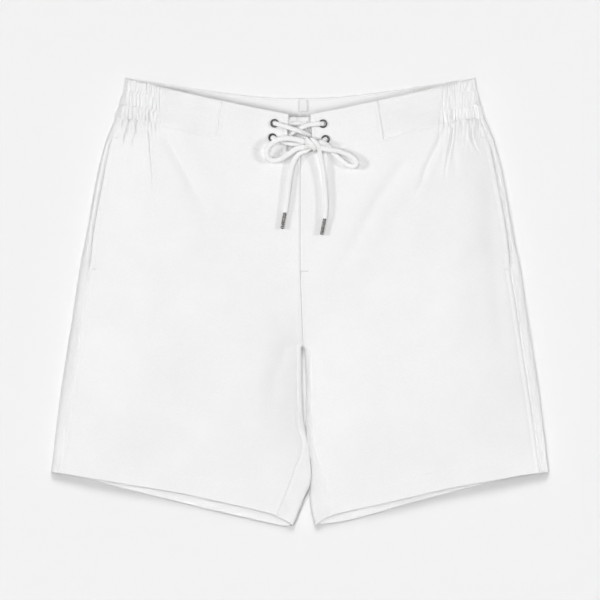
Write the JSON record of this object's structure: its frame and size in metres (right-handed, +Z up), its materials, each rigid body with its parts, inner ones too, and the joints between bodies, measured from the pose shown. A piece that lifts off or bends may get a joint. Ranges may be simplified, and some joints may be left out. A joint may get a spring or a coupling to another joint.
{
  "type": "board shorts",
  "caption": "Lace-up board shorts laid flat: two-layer legs, gathered waistband, eyelet lacing tied in a bow, fly and side pockets",
  "frame": {"origin": "centre of the laid-flat garment seen from above, on the surface it lies on (z = 0)", "axes": "+X runs from the wearer's right leg to the wearer's left leg (a viewer's left to right with the waist away), +Y runs from the leg hems to the waist, +Z points up from the surface, out of the front of the shorts"},
  "size_m": [0.5236, 0.47, 0.0385],
  "materials": {
    "shell_cloth": "matt white woven polyester, brushed, fine speckled weave",
    "lining_cloth": "matt white plain-weave lining",
    "interlining": "stiff white non-woven interlining",
    "elastic": "flat woven elastic, white",
    "tape": "white woven tape",
    "thread": "white stitching thread, dense bar tacks",
    "lace_braid": "white flat braided cord, matt",
    "gunmetal": "dark gunmetal-plated steel, satin"
  },
  "bodies": {
    "shorts": {"front_panel_right": "shell_cloth", "front_panel_left": "shell_cloth", "back_panel_right": "shell_cloth", "back_panel_left": "shell_cloth", "waistband_placket_right": "shell_cloth", "waistband_placket_left": "shell_cloth", "placket_interlining_right": "interlining", "placket_interlining_left": "interlining", "facing_front_right": "lining_cloth", "facing_front_left": "lining_cloth", "waistband_side_right": "shell_cloth", "waistband_side_left": "shell_cloth", "elastic_right": "elastic", "elastic_left": "elastic", "waistband_back": "shell_cloth", "facing_back": "lining_cloth", "hanger_loop": "tape", "eyelets": "gunmetal", "eyelet_washers": "gunmetal", "fly_facing": "shell_cloth", "fly_loop_tape": "tape", "fly_hook_tape": "tape", "fly_underlap": "shell_cloth", "pocket_bag_front_right": "lining_cloth", "pocket_bag_front_left": "lining_cloth", "pocket_facing_right": "shell_cloth", "pocket_facing_left": "shell_cloth", "pocket_bag_back_right": "lining_cloth", "pocket_bag_back_left": "lining_cloth", "bar_tacks": "thread", "lace_lacing": "lace_braid", "lace_loop_right": "lace_braid", "lace_loop_left": "lace_braid", "lace_knot": "lace_braid"},
    "right_tail": {"lace_tail_right": "lace_braid", "aglet_right": "gunmetal"},
    "left_tail": {"lace_tail_left": "lace_braid", "aglet_left": "gunmetal"}
  },
  "joints": [
    {"name": "right_tail_swing", "type": "hinge", "parent": "shorts", "child": "right_tail", "pos_m": [0.0074, 0.1566, 0.0291], "axis": [0, 0, 1], "range_deg": [-12, 11]},
    {"name": "left_tail_swing", "type": "hinge", "parent": "shorts", "child": "left_tail", "pos_m": [0.0204, 0.1568, 0.0291], "axis": [0, 0, 1], "range_deg": [-11, 20]}
  ]
}
